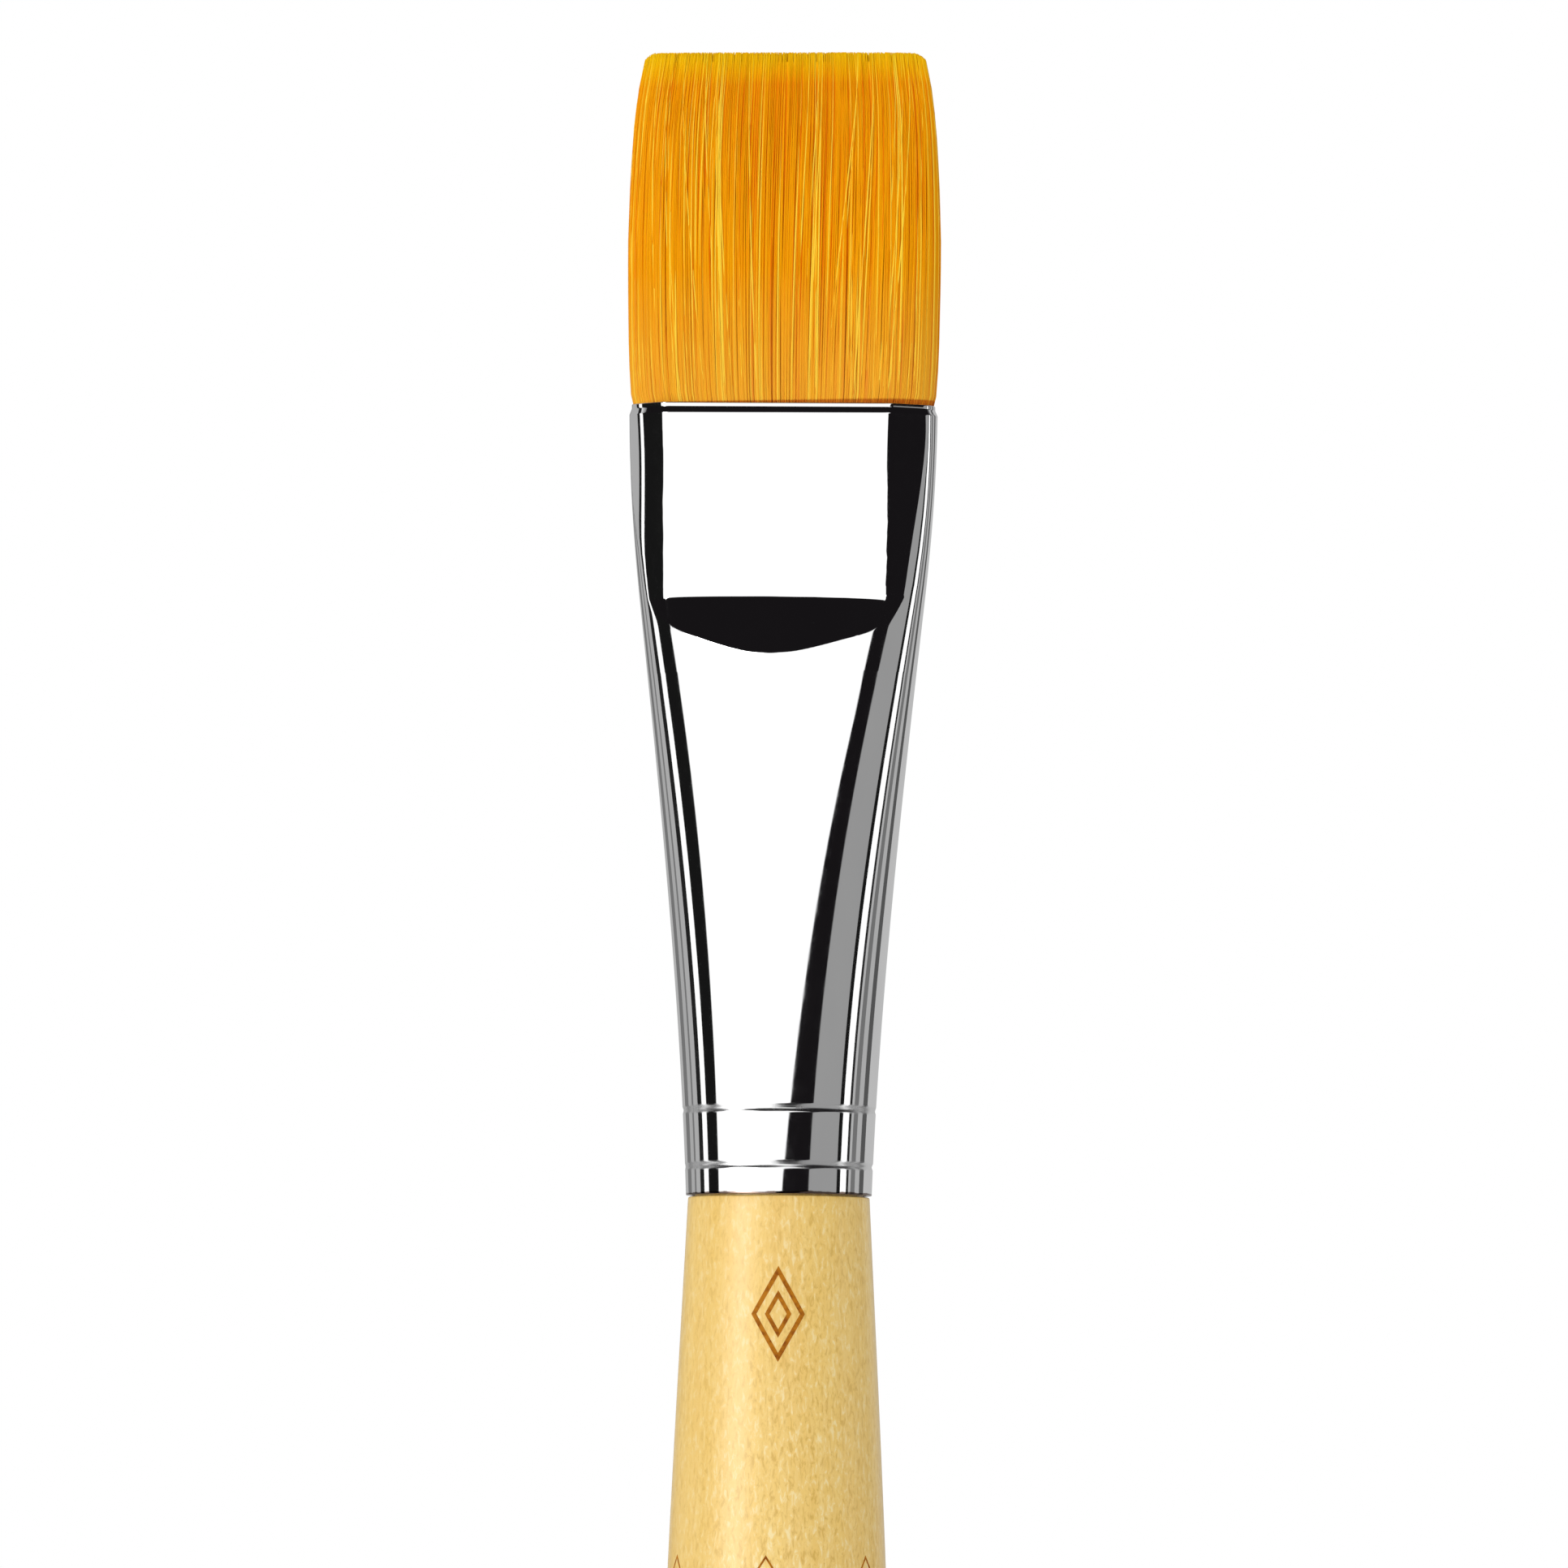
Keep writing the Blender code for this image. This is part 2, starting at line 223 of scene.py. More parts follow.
class Nodes:
    """A node tree, with a short way to add and join nodes."""

    def __init__(self, tree):
        self.tree = tree

    def add(self, kind, **settings):
        node = self.tree.nodes.new(kind)
        for key, value in settings.items():
            setattr(node, key, value)
        return node

    def link(self, source, target):
        self.tree.links.new(source, target)

    def grey(self, value):
        """A value as a colour."""
        node = self.add("ShaderNodeCombineColor")
        for channel in node.inputs:
            self.link(value, channel)
        return node.outputs[0]

    def place(self, scale):
        """Object coordinates in metres, multiplied by scale."""
        coordinates = self.add("ShaderNodeTexCoord")
        mapping = self.add("ShaderNodeMapping")
        mapping.inputs["Scale"].default_value = scale
        self.link(coordinates.outputs["Object"], mapping.inputs["Vector"])
        return mapping.outputs["Vector"]

    def height(self):
        """The object's own Z."""
        place = self.add("ShaderNodeSeparateXYZ")
        self.link(self.place((1.0, 1.0, 1.0)), place.inputs["Vector"])
        return place.outputs["Z"]

    def noise(self, scale, detail=2.0, roughness=0.5, distortion=0.0):
        """Noise from 0 to 1, with scale as features per metre along X, Y and Z."""
        texture = self.add("ShaderNodeTexNoise")
        texture.inputs["Scale"].default_value = 1.0
        texture.inputs["Detail"].default_value = detail
        texture.inputs["Roughness"].default_value = roughness
        texture.inputs["Distortion"].default_value = distortion
        self.link(self.place(scale), texture.inputs["Vector"])
        return texture.outputs["Fac"]

    def spread(self, value, low, high, to_low=0.0, to_high=1.0):
        """Maps value from low..high to to_low..to_high, clamped."""
        node = self.add("ShaderNodeMapRange")
        settings = {"From Min": low, "From Max": high, "To Min": to_low, "To Max": to_high}
        for key, number in settings.items():
            node.inputs[key].default_value = number
        self.link(value, node.inputs["Value"])
        return node.outputs["Result"]

    def maths(self, operation, first, second=None, third=None):
        node = self.add("ShaderNodeMath", operation=operation)
        for socket, value in zip(node.inputs, (first, second, third)):
            if isinstance(value, bpy.types.NodeSocket):
                self.link(value, socket)
            elif value is not None:
                socket.default_value = value
        return node.outputs[0]

    def clamp(self, value, low, high):
        return self.maths("MINIMUM", self.maths("MAXIMUM", value, low), high)

    def distance(self, value, middle):
        """How far value is from middle."""
        return self.maths("ABSOLUTE", self.maths("SUBTRACT", value, middle))

    def mix(self, share, first, second):
        """The first colour at share 0 and the second at share 1."""
        node = self.add("ShaderNodeMix", data_type="RGBA")
        for socket, value in ((node.inputs[0], share), (node.inputs[6], first), (node.inputs[7], second)):
            if isinstance(value, bpy.types.NodeSocket):
                self.link(value, socket)
            else:
                socket.default_value = (*value, 1.0)
        return node.outputs[2]


class Surface(Nodes):
    """A material's node tree round its main shader."""

    def __init__(self, name):
        self.material = bpy.data.materials.new(name)
        self.material.use_nodes = True
        super().__init__(self.material.node_tree)
        self.shader = self.tree.nodes["Principled BSDF"]

    def set(self, **values):
        for key, value in values.items():
            self.shader.inputs[key.replace("_", " ")].default_value = value

    def paint(self, colour, roughness):
        self.link(colour, self.shader.inputs["Base Color"])
        self.link(roughness, self.shader.inputs["Roughness"])

    def bump(self, height, depth):
        node = self.add("ShaderNodeBump")
        node.inputs["Distance"].default_value = depth
        self.link(height, node.inputs["Height"])
        self.link(node.outputs["Normal"], self.shader.inputs["Normal"])


# Wood ---------------------------------------------------------------------------------------------

WOOD_TONES = ((0.87, 0.56, 0.128), (0.92, 0.645, 0.185))
WOOD_LINES = (0.74, 0.44, 0.09)
WOOD_FIBRES = (0.96, 0.78, 0.36)
WOOD_DARK_FLECKS = (0.64, 0.36, 0.045)
WOOD_PALE_FLECKS = (0.95, 0.82, 0.47)
BURNT_TONES = ((0.47, 0.165, 0.006), (0.25, 0.062, 0.003))


def wood_material():
    """Pale close-grained hardwood under a thin satin coat. Its flecks are strongest where it is figured."""
    made = Surface("varnished_wood")
    tone = made.noise((55.0, 55.0, 14.0), detail=3.0)
    fibre = made.noise((2600.0, 2600.0, 130.0), detail=3.0, roughness=0.6)
    lines = made.noise((900.0, 900.0, 16.0), detail=2.0)
    fleck = made.noise((3600.0, 3600.0, 1300.0), detail=3.0, roughness=0.65, distortion=0.6)
    figure = made.noise((95.0, 60.0, 9.0), detail=1.0)
    colour = made.mix(made.spread(tone, 0.3, 0.7), *WOOD_TONES)
    colour = made.mix(made.spread(lines, 0.35, 0.75, to_high=0.30), colour, WOOD_LINES)
    colour = made.mix(made.spread(fibre, 0.40, 0.75, to_high=0.22), colour, WOOD_FIBRES)
    figured = made.spread(figure, 0.42, 0.62, 0.36, 0.68)
    dark = made.maths("MULTIPLY", made.spread(fleck, 0.52, 0.66), figured)
    colour = made.mix(dark, colour, WOOD_DARK_FLECKS)
    figured = made.spread(figure, 0.42, 0.62, 0.30, 0.62)
    pale = made.maths("MULTIPLY", made.spread(fleck, 0.46, 0.34), figured)
    colour = made.mix(pale, colour, WOOD_PALE_FLECKS)
    made.paint(colour, made.spread(fibre, 0.3, 0.7, 0.40, 0.52))
    made.bump(fibre, 0.012 * MM)
    made.set(Coat_Weight=0.8, Coat_Roughness=0.25, Coat_IOR=1.45)
    return made.material


def burnt_material():
    """Fine lines burnt into the wood: brown, darker and rougher in spots."""
    made = Surface("burnt_line")
    spots = made.noise((2600.0, 2600.0, 2600.0), detail=3.0)
    colour = made.mix(made.spread(spots, 0.42, 0.7), *BURNT_TONES)
    made.paint(colour, made.spread(spots, 0.3, 0.7, 0.50, 0.72))
    made.bump(spots, 0.006 * MM)
    made.set(Specular_IOR_Level=0.12)
    return made.material


# Nickel plate -------------------------------------------------------------------------------------

PLATE_TONES = ((0.93, 0.93, 0.935), (0.97, 0.97, 0.97))
# Painted shade: a dark line along the ferrule's cut base, where its rim meets the handle, stands in for the
# shadow there. These are its colour, share, wandering top and soft edge.
BASE_PAINTED_SHADE = (0.10, 0.045, 0.02)
BASE_PAINTED_SHADE_SHARE = 0.92
BASE_PAINTED_SHADE_TOPS = (BASE_Z + 0.08 * MM, BASE_Z + 0.20 * MM)
BASE_PAINTED_SHADE_EDGE = 0.06 * MM
CRIMP_SCUFF = 0.22
CRIMP_SCUFF_REACH = (0.16 * MM, 0.34 * MM)


def plated_material():
    """Bright nickel plate, faintly wavy, scuffed dull in the crimps, with a dark line of painted shade
    along its cut base.
    """
    made = Surface("bright_plate")
    wave = made.noise((260.0, 260.0, 120.0), detail=2.0)
    haze = made.noise((2200.0, 2200.0, 900.0), detail=3.0)
    patches = made.noise((900.0, 900.0, 900.0), detail=3.0)
    plate = made.mix(made.spread(wave, 0.3, 0.7), *PLATE_TONES)
    top = made.spread(patches, 0.3, 0.7, *BASE_PAINTED_SHADE_TOPS)
    above = made.maths("DIVIDE", made.maths("SUBTRACT", made.height(), top), BASE_PAINTED_SHADE_EDGE)
    # Painted shade: the plate darkens to a dark line from the base up to a wandering top.
    colour = made.mix(made.spread(above, -0.5, 0.5, BASE_PAINTED_SHADE_SHARE, 0.0), plate, BASE_PAINTED_SHADE)
    rough = made.spread(haze, 0.35, 0.75, 0.025, 0.06)
    for centre in CRIMP_HEIGHTS:
        away = made.distance(made.height(), BASE_Z + centre)
        rough = made.maths("ADD", rough, made.spread(away, *CRIMP_SCUFF_REACH, CRIMP_SCUFF, 0.0))
    made.paint(colour, rough)
    made.bump(wave, 0.003 * MM)
    made.set(Metallic=1.0)
    return made.material


# Filament -----------------------------------------------------------------------------------------

# Each filament's own colour, from its darkest tone over its middle one to its lightest.
GOLDEN_TONES = ((0.80, 0.18, 0.0005), (0.89, 0.363, 0.001), (1.00, 0.72, 0.06))
HEART_TONES = ((0.80, 0.19, 0.0005), (0.82, 0.24, 0.001), (0.84, 0.30, 0.001))
ROOT_COLOUR = (0.88, 0.48, 0.06)
ROOT_SHARE = 0.45
ROOT_FADE = 9.0 * MM
CUT_COLOUR = (1.0, 0.67, 0.003)
CUT_SHARE = 0.66
CUT_FADE = 1.9 * MM
# Painted shade: a thin dark line on the filaments just above the lip, standing in for the shadow there.
LIP_SHADE = (0.45, 0.06, 0.004)
LIP_SHADE_SHARE = 0.8
LIP_SHADE_HEIGHTS = (MOUTH_Z + 0.12 * MM, MOUTH_Z + 0.22 * MM)
# Painted highlights: light streaks along the filaments stand in for their narrow highlights.
HIGHLIGHT_STREAK_COLOUR = (1.0, 0.58, 0.006)
HIGHLIGHT_STREAK_SHARE = 0.20
SHEEN = (1.0, 0.62, 0.12, 1.0)


def tone_ramp(made, low, middle, high):
    """The colour that a piece's tone attribute stands for, from 0 to 1."""
    tone = made.add("ShaderNodeAttribute", attribute_name="tone")
    ramp = made.add("ShaderNodeValToRGB")
    stops = ramp.color_ramp.elements
    stops[0].position, stops[0].color = 0.0, (*low, 1.0)
    stops[1].position, stops[1].color = 1.0, (*high, 1.0)
    stops.new(0.5).color = (*middle, 1.0)
    made.link(tone.outputs["Fac"], ramp.inputs["Fac"])
    return ramp.outputs["Color"]


def filament_material(name, tones):
    """Dyed filament in single tones, paler at the ferrule, brighter at the cut, with painted highlight
    streaks and painted shade just above the lip.
    """
    made = Surface(name)
    height = made.height()
    root = made.spread(height, MOUTH_Z, MOUTH_Z + ROOT_FADE, ROOT_SHARE, 0.0)
    colour = made.mix(root, tone_ramp(made, *tones), ROOT_COLOUR)
    cut = made.spread(height, TIP_Z - CUT_FADE, TIP_Z, 0.0, CUT_SHARE)
    colour = made.mix(cut, colour, CUT_COLOUR)
    # Painted shade: the filaments darken just above the lip.
    shade = made.spread(height, *LIP_SHADE_HEIGHTS, LIP_SHADE_SHARE, 0.0)
    colour = made.mix(shade, colour, LIP_SHADE)
    # Painted highlight: light streaks are mixed into the colour along the filaments. The same noise also
    # varies roughness and bump.
    streak = made.noise((5000.0, 5000.0, 120.0), detail=2.0)
    colour = made.mix(made.spread(streak, 0.5, 0.8, 0.0, HIGHLIGHT_STREAK_SHARE), colour, HIGHLIGHT_STREAK_COLOUR)
    made.paint(colour, made.spread(streak, 0.3, 0.7, 0.34, 0.46))
    made.bump(streak, 0.004 * MM)
    made.set(Specular_IOR_Level=0.18, Specular_Tint=SHEEN)
    return made.material


# What the ferrule hides ---------------------------------------------------------------------------

# CAD node: material, its two tones, features per metre and least roughness.
HIDDEN_MATERIALS = {
    "tenon_glue": ("set_glue", (0.72, 0.64, 0.42), (0.80, 0.74, 0.55), 900.0, 0.35),
    "resin_plug": ("set_resin", (0.55, 0.34, 0.12), (0.66, 0.45, 0.18), 700.0, 0.2),
    "binding_thread": ("waxed_thread", (0.72, 0.68, 0.58), (0.86, 0.83, 0.76), 5000.0, 0.75),
}


def mottled_material(name, first, second, scale, roughness):
    """Two tones, a little roughness and a shallow bump, all mixed by one noise."""
    made = Surface(name)
    mottle = made.noise((scale, scale, scale), detail=4.0)
    colour = made.mix(made.spread(mottle, 0.35, 0.65), first, second)
    made.paint(colour, made.spread(mottle, 0.3, 0.7, roughness, roughness + 0.15))
    made.bump(mottle, 0.02 * MM)
    return made.material


def finish_hidden():
    """Gives the CAD nodes inside the ferrule their materials."""
    for node, settings in HIDDEN_MATERIALS.items():
        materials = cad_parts[node].data.materials
        materials.clear()
        materials.append(mottled_material(*settings))


# Ferrule ------------------------------------------------------------------------------------------

# Columns of a quarter ring: round its end, across its chamfer and over its facet.
QUADRANT_COLUMNS = (14, 14, 42)
CHAMFER_START, FACET_START = math.radians(21.0), math.radians(39.8)
END_COLUMN = 1e-6
ROWS_ALONG, ROWS_AT_SHOULDER, ROWS_IN_CRIMP, ROWS_INSIDE = 46, 72, 21, 24

# Heights above the base that sections start, end and crowd between, and what they leave free at a crimp.
OUTSIDE_START, OUTSIDE_END = CURL_HEIGHT + 0.1 * MM, FERRULE_LENGTH - 0.75 * MM
SHOULDER_START, SHOULDER_END = FLAT_BOTTOM - 5.0 * MM, FLAT_BOTTOM + 0.5 * MM
INSIDE_START, INSIDE_END = FERRULE_LENGTH - 0.9 * MM, 0.6 * MM
CRIMP_NEAR = 1.15 * CRIMP_HALF_WIDTH
CRIMP_CLEAR = 0.3 * MM
CRIMP_SUPPORT = 0.2 * MM

# The base's edge: (height in millimetres, share of the wall). Then it curls up to its full width.
BASE_EDGE = ((0.10, 1.0), (0.0, 0.7), (0.0, 0.3))
CURL_SHARES = (0.08, 0.25, 0.45, 0.7, 1.0)

# The lip from outside to inside: how far below the mouth in millimetres, and inset as a share of LIP_STEP.
LIP = (
    (0.72, 0.00),
    (0.68, 0.01),
    (0.64, 0.07),
    (0.60, 0.19),
    (0.34, 0.84),
    (0.31, 0.94),
    (0.28, 0.99),
    (0.26, 1.00),
    (0.24, 1.00),
    (0.07, 1.00),
    (0.05, 1.01),
    (0.02, 1.06),
    (0.00, 1.20),
    (0.00, 1.70),
    (0.05, 1.85),
)


def crimp(height, turns):
    """How far the crimped rings press the wall in, a little unevenly, at a height above the base."""
    pressed = np.zeros_like(turns)
    for centre in CRIMP_HEIGHTS:
        share = min(abs(height - centre) / CRIMP_HALF_WIDTH, 1.0)
        uneven = 1.0
        for depth, waves, turn in CRIMP_UNEVENNESS:
            uneven = uneven + depth * np.sin(waves * turns + turn * centre)
        pressed += CRIMP_DEPTH * uneven * (1.0 + math.cos(math.pi * share)) / 2.0
    return pressed


def ferrule_half_width(height):
    """The flare, ever steeper up to the bottom of the flats and easing off to the mouth."""
    low = hermite(
        height / FLAT_BOTTOM,
        BASE_RADIUS,
        FLAT_BOTTOM_HALF_WIDTH,
        BASE_SPREAD * FLAT_BOTTOM,
        FLAT_BOTTOM_SPREAD * FLAT_BOTTOM,
    )
    share = np.clip((height - FLAT_BOTTOM) / FLAT_LENGTH, 0.0, 1.0)
    high = hermite(share, FLAT_BOTTOM_HALF_WIDTH, MOUTH_HALF_WIDTH, FLAT_BOTTOM_SPREAD * FLAT_LENGTH, 0.0)
    return np.where(height < FLAT_BOTTOM, low, high)


def chamfer_roll(past):
    """How much further the chamfer rolls over towards -X, past the facet's edge. All in millimetres."""
    bent = CHAMFER_ROLL * np.minimum(past, CHAMFER_ROLL_REACH) ** CHAMFER_ROLL_POWER
    end_slope = CHAMFER_ROLL_POWER * CHAMFER_ROLL * CHAMFER_ROLL_REACH ** (CHAMFER_ROLL_POWER - 1)
    return bent + end_slope * np.maximum(0.0, past - CHAMFER_ROLL_REACH)


def column_turns():
    """The turns of a ring's columns from +X, closest together on the ends and along the facets' edges."""
    stops = (0.0, CHAMFER_START, FACET_START, math.pi / 2.0)
    spans = [
        np.linspace(start, end, count, endpoint=False)
        for start, end, count in zip(stops, stops[1:], QUADRANT_COLUMNS)
    ]
    quadrant = np.concatenate(spans)
    half = np.concatenate([quadrant, [math.pi / 2.0], math.pi - quadrant[:0:-1]])
    return np.concatenate([half, half + math.pi])


def die_faces(height, x, pressed):
    """How far the dies' shoulder and chamfer stand from the middle plane, at a height and across X."""
    up_flat = min(max((height - FLAT_BOTTOM) / FLAT_LENGTH, 0.0), 1.0)
    low, high = FLAT_HALF_THICKNESSES
    flat = low + (high - low) * up_flat - pressed
    facet = FACET_HALF_WIDTH + FACET_WIDENING * up_flat**FACET_WIDENING_POWER
    across = (x / FACET_HALF_WIDTH) ** 2
    crease = FLAT_BOTTOM - SHOULDER_ARCH * across - SHOULDER_SKEW * x
    slope = np.maximum(SHOULDER_LEAST_SLOPE, SHOULDER_SLOPE - SHOULDER_DISH * across**2)
    shoulder = flat + np.maximum(0.0, crease - height) * slope
    below = max(0.0, FLAT_BOTTOM - height)
    chamfer = flat + below * CHAMFER_FADE + (facet - np.abs(x)) * CHAMFER_SLOPE
    chamfer -= chamfer_roll(np.maximum(0.0, -x - facet) / MM) * MM
    return shoulder, chamfer


def ferrule_ring(height, inset):
    """The ferrule's section at a height above its base, moved in by inset."""
    turns = column_turns()
    half_width = float(ferrule_half_width(np.float64(height)))
    equal_radius = BASE_RADIUS + (MOUTH_EQUAL_RADIUS - BASE_RADIUS) * height / FERRULE_LENGTH
    half_depth = math.sqrt(2.0 * equal_radius**2 - half_width**2)
    pressed = inset + crimp(height, turns)
    x = (half_width - pressed) * np.cos(turns)
    depth = (half_depth - pressed) * np.abs(np.sin(turns))
    shoulder, chamfer = die_faces(height, x, pressed)
    depth = soft_min(depth, chamfer, CREASE_SOFTNESS)
    depth = soft_min(depth, shoulder, CREASE_SOFTNESS)
    depth = np.where(np.abs(np.sin(turns)) < END_COLUMN, 0.0, depth)
    y = depth * np.sign(np.sin(turns))
    return np.stack([x, y, np.full_like(x, BASE_Z + height)], axis=1)


def ferrule_heights():
    """Heights of the outside's sections: close together at the crimps, beside them and at the shoulder."""
    heights = set(np.linspace(OUTSIDE_START, OUTSIDE_END, ROWS_ALONG))
    heights |= set(np.linspace(SHOULDER_START, SHOULDER_END, ROWS_AT_SHOULDER))
    for centre in CRIMP_HEIGHTS:
        heights = {height for height in heights if abs(height - centre) > CRIMP_NEAR + CRIMP_CLEAR}
        heights |= set(np.linspace(centre - CRIMP_HALF_WIDTH, centre + CRIMP_HALF_WIDTH, ROWS_IN_CRIMP))
        below, above = centre - CRIMP_NEAR, centre + CRIMP_NEAR
        heights |= {below, above, below - CRIMP_SUPPORT, above + CRIMP_SUPPORT}
    return sorted(heights)


def ferrule_profile():
    """(height, inset) from inside the base, up the outside, over the lip and back down the inside."""
    profile = [(height * MM, WALL * share + CURL_DEPTH) for height, share in BASE_EDGE]
    for share in CURL_SHARES:
        profile.append((CURL_HEIGHT * share, CURL_DEPTH * (1.0 - share) ** 2))
    profile += [(height, 0.0) for height in ferrule_heights()]
    profile += [(FERRULE_LENGTH - drop * MM, step * LIP_STEP) for drop, step in LIP]
    profile += [(height, WALL) for height in np.linspace(INSIDE_START, INSIDE_END, ROWS_INSIDE)]
    return profile


def build_ferrule():
    rings = [ferrule_ring(height, inset) for height, inset in ferrule_profile()]
    faces = ring_faces(len(rings), len(rings[0]), closed=True)
    return mesh_object("ferrule_shell", skewed(np.concatenate(rings)), faces)


# Handle -------------------------------------------------------------------------------------------

HANDLE_SIDES = 144
HANDLE_ROWS, DOME_ROWS = 150, 12
HANDLE_SHARP_ANGLE = math.radians(35)


def handle_radius(z):
    """The handle's radius at a height, from its shoulder under the ferrule down to its domed tail."""
    shoulder = BASE_Z - SHOULDER_GAP
    down = (shoulder - z) / shoulder
    belly = hermite(down, SHOULDER_RADIUS, BELLY_RADIUS, SHOULDER_SPREAD * shoulder, 0.0)
    taper = -TAIL_DOME - TAIL_Z
    tail = hermite(-z / taper, BELLY_RADIUS, TAIL_RADIUS, 0.0, TAIL_SPREAD * taper)
    return np.where(z > 0.0, belly, tail)


def handle_profile():
    """(radius, z) from the tenon's top down to the tail: crimped tenon, shoulder, belly, taper and dome."""
    shoulder = BASE_Z - SHOULDER_GAP
    top = BASE_Z + TENON_LENGTH
    profile = [(0.0, top), (TENON_RADIUS - TENON_CHAMFER, top), (TENON_RADIUS, top - TENON_CHAMFER)]
    for centre in reversed(CRIMP_HEIGHTS):
        for share in (1.0, 0.5, 0.0, -0.5, -1.0):
            height = centre + share * CRIMP_HALF_WIDTH
            profile.append((TENON_RADIUS - float(crimp(height, 0.0)), BASE_Z + height))
    profile.append((TENON_RADIUS, shoulder))
    edge = SHOULDER_EDGE
    outer = float(handle_radius(shoulder - edge))
    for turn in np.radians((0, 30, 60, 90)):
        profile.append((outer - edge + edge * math.sin(turn), shoulder - edge + edge * math.cos(turn)))
    for z in np.linspace(shoulder - edge, TAIL_Z + TAIL_DOME, HANDLE_ROWS)[1:]:
        profile.append((float(handle_radius(z)), z))
    for turn in np.radians(np.linspace(0.0, 90.0, DOME_ROWS))[1:]:
        profile.append((TAIL_RADIUS * math.cos(turn), TAIL_Z + TAIL_DOME - TAIL_DOME * math.sin(turn)))
    return profile


def build_handle():
    """One turned piece, closed by a point at each end."""
    profile = handle_profile()
    turns = np.linspace(0.0, 2.0 * math.pi, HANDLE_SIDES, endpoint=False)
    rings = [
        np.stack([radius * np.cos(turns), radius * np.sin(turns), np.full_like(turns, z)], axis=1)
        for radius, z in profile[1:-1]
    ]
    points = [*np.concatenate(rings), (0.0, 0.0, profile[0][1]), (0.0, 0.0, TAIL_Z)]
    faces = [face[::-1] for face in ring_faces(len(rings), HANDLE_SIDES)]
    crown, tip = len(points) - 2, len(points) - 1
    last = (len(rings) - 1) * HANDLE_SIDES
    for side in range(HANDLE_SIDES):
        after = (side + 1) % HANDLE_SIDES
        faces.append((side, after, crown))
        faces.append((last + after, last + side, tip))
    made = mesh_object("handle_body", points, faces)
    made.data.set_sharp_from_angle(angle=HANDLE_SHARP_ANGLE)
    return made


# Marks burnt into the handle ----------------------------------------------------------------------

# Each mark is nested lozenges of (half width, half height, line width) in millimetres.
MARK_AZIMUTH = VIEW_AZIMUTH
MARK_PROUD = 0.012 * MM
MARK_SUNK = 0.02 * MM
EMBLEM_Z = BASE_Z - 7.88 * MM
EMBLEM_LOZENGES = ((1.60, 2.84, 0.29), (0.72, 1.28, 0.27))
BAND_Z = BASE_Z - 26.7 * MM
BAND_LOZENGES = ((1.9, 3.0, 0.13), (1.0, 1.6, 0.13))
BAND_COUNT = 6
BAND_AZIMUTH = MARK_AZIMUTH - 5.8


def ribbon_points(path, width, azimuth):
    """A thin closed ribbon on the handle, along a path of (distance round, height), with mitred corners."""
    path = np.asarray(path, float)
    before, after = np.roll(path, 1, axis=0), np.roll(path, -1, axis=0)
    into, out = path - before, after - path
    into /= np.linalg.norm(into, axis=1)[:, None]
    out /= np.linalg.norm(out, axis=1)[:, None]
    normal = np.stack([-(into + out)[:, 1], (into + out)[:, 0]], axis=1)
    normal /= np.linalg.norm(normal, axis=1)[:, None]
    across = np.stack([-into[:, 1], into[:, 0]], axis=1)
    reach = width / 2.0 / np.sum(normal * across, axis=1)
    rows = []
    for side in (-1.0, 1.0):
        flat = path + normal * (side * reach)[:, None]
        for lift in (-MARK_SUNK, MARK_PROUD):
            radius = handle_radius(flat[:, 1]) + lift
            turn = math.radians(azimuth) + flat[:, 0] / handle_radius(flat[:, 1])
            rows.append(np.stack([radius * np.sin(turn), -radius * np.cos(turn), flat[:, 1]], axis=1))
    low_in, high_in, low_out, high_out = rows
    return np.stack([low_in, low_out, high_out, high_in], axis=1).reshape(-1, 3)


def lozenge(half_width, half_height, z, steps=10):
    """A closed lozenge path round (0, z)."""
    corners = [(0.0, half_height), (half_width, 0.0), (0.0, -half_height), (-half_width, 0.0)]
    path = []
    for (x, y), (next_x, next_y) in zip(corners, corners[1:] + corners[:1]):
        for step in range(steps):
            share = step / steps
            path.append((x + (next_x - x) * share, z + y + (next_y - y) * share))
    return path


def build_marks(name, lozenges, z, azimuths):
    """One piece of nested lozenges at a height, repeated at each azimuth."""
    points, faces = [], []
    for azimuth in azimuths:
        for half_width, half_height, line in lozenges:
            path = lozenge(half_width * MM, half_height * MM, z)
            faces += ring_faces(len(path), 4, closed=True, first=len(points))
            points += list(ribbon_points(path, line * MM, azimuth))
    return mesh_object(name, points, faces, smooth=False)


# Tuft ---------------------------------------------------------------------------------------------

# Filaments lean in clumps, wave sideways, dive under each other and end a little short of the cut.
FILAMENT_RADIUS = 0.066 * MM
FILAMENT_TIP_RADIUS = 0.026 * MM
FILAMENT_RADIUS_SHARES = (0.82, 1.18)
TAPER_START = 0.35
FILAMENT_START = -0.045
OUTERMOST = 0.995
CROWDING = 0.94
CLUMPS = 64
CLUMP_MIXING = 0.35
CLUMP_LEAN = 0.008
LEAN_POWER = 1.2
WAVE, WAVE_TURN = 0.0012, 5.0
DIVES, DIVE_TURN = (0.01, 0.06), 3.0
SHORTNESS, GREATEST_SHORTNESS = 0.08 * MM, 0.4 * MM
CUT_MEASURED_AT = 0.965

# Tones run from 0 to 1. Some filaments, a share of all, are a step lighter or darker than the usual tone.
USUAL_TONE, TONE_VARIATION = 0.43, 0.035
LIGHT_SHARE, LIGHT_STEP = 0.065, 0.50
DARK_SHARE, DARK_STEP = 0.085, 0.43
GOLDEN_SHARE = 0.6180339887
SHUFFLE = 0.03


def tuft_half_sizes(share):
    """Half width and half depth of the tuft at a share of its length."""
    shares, widths, depths = np.array(TUFT_OUTLINE).T
    return np.interp(share, shares, widths) * MM, np.interp(share, shares, depths) * MM


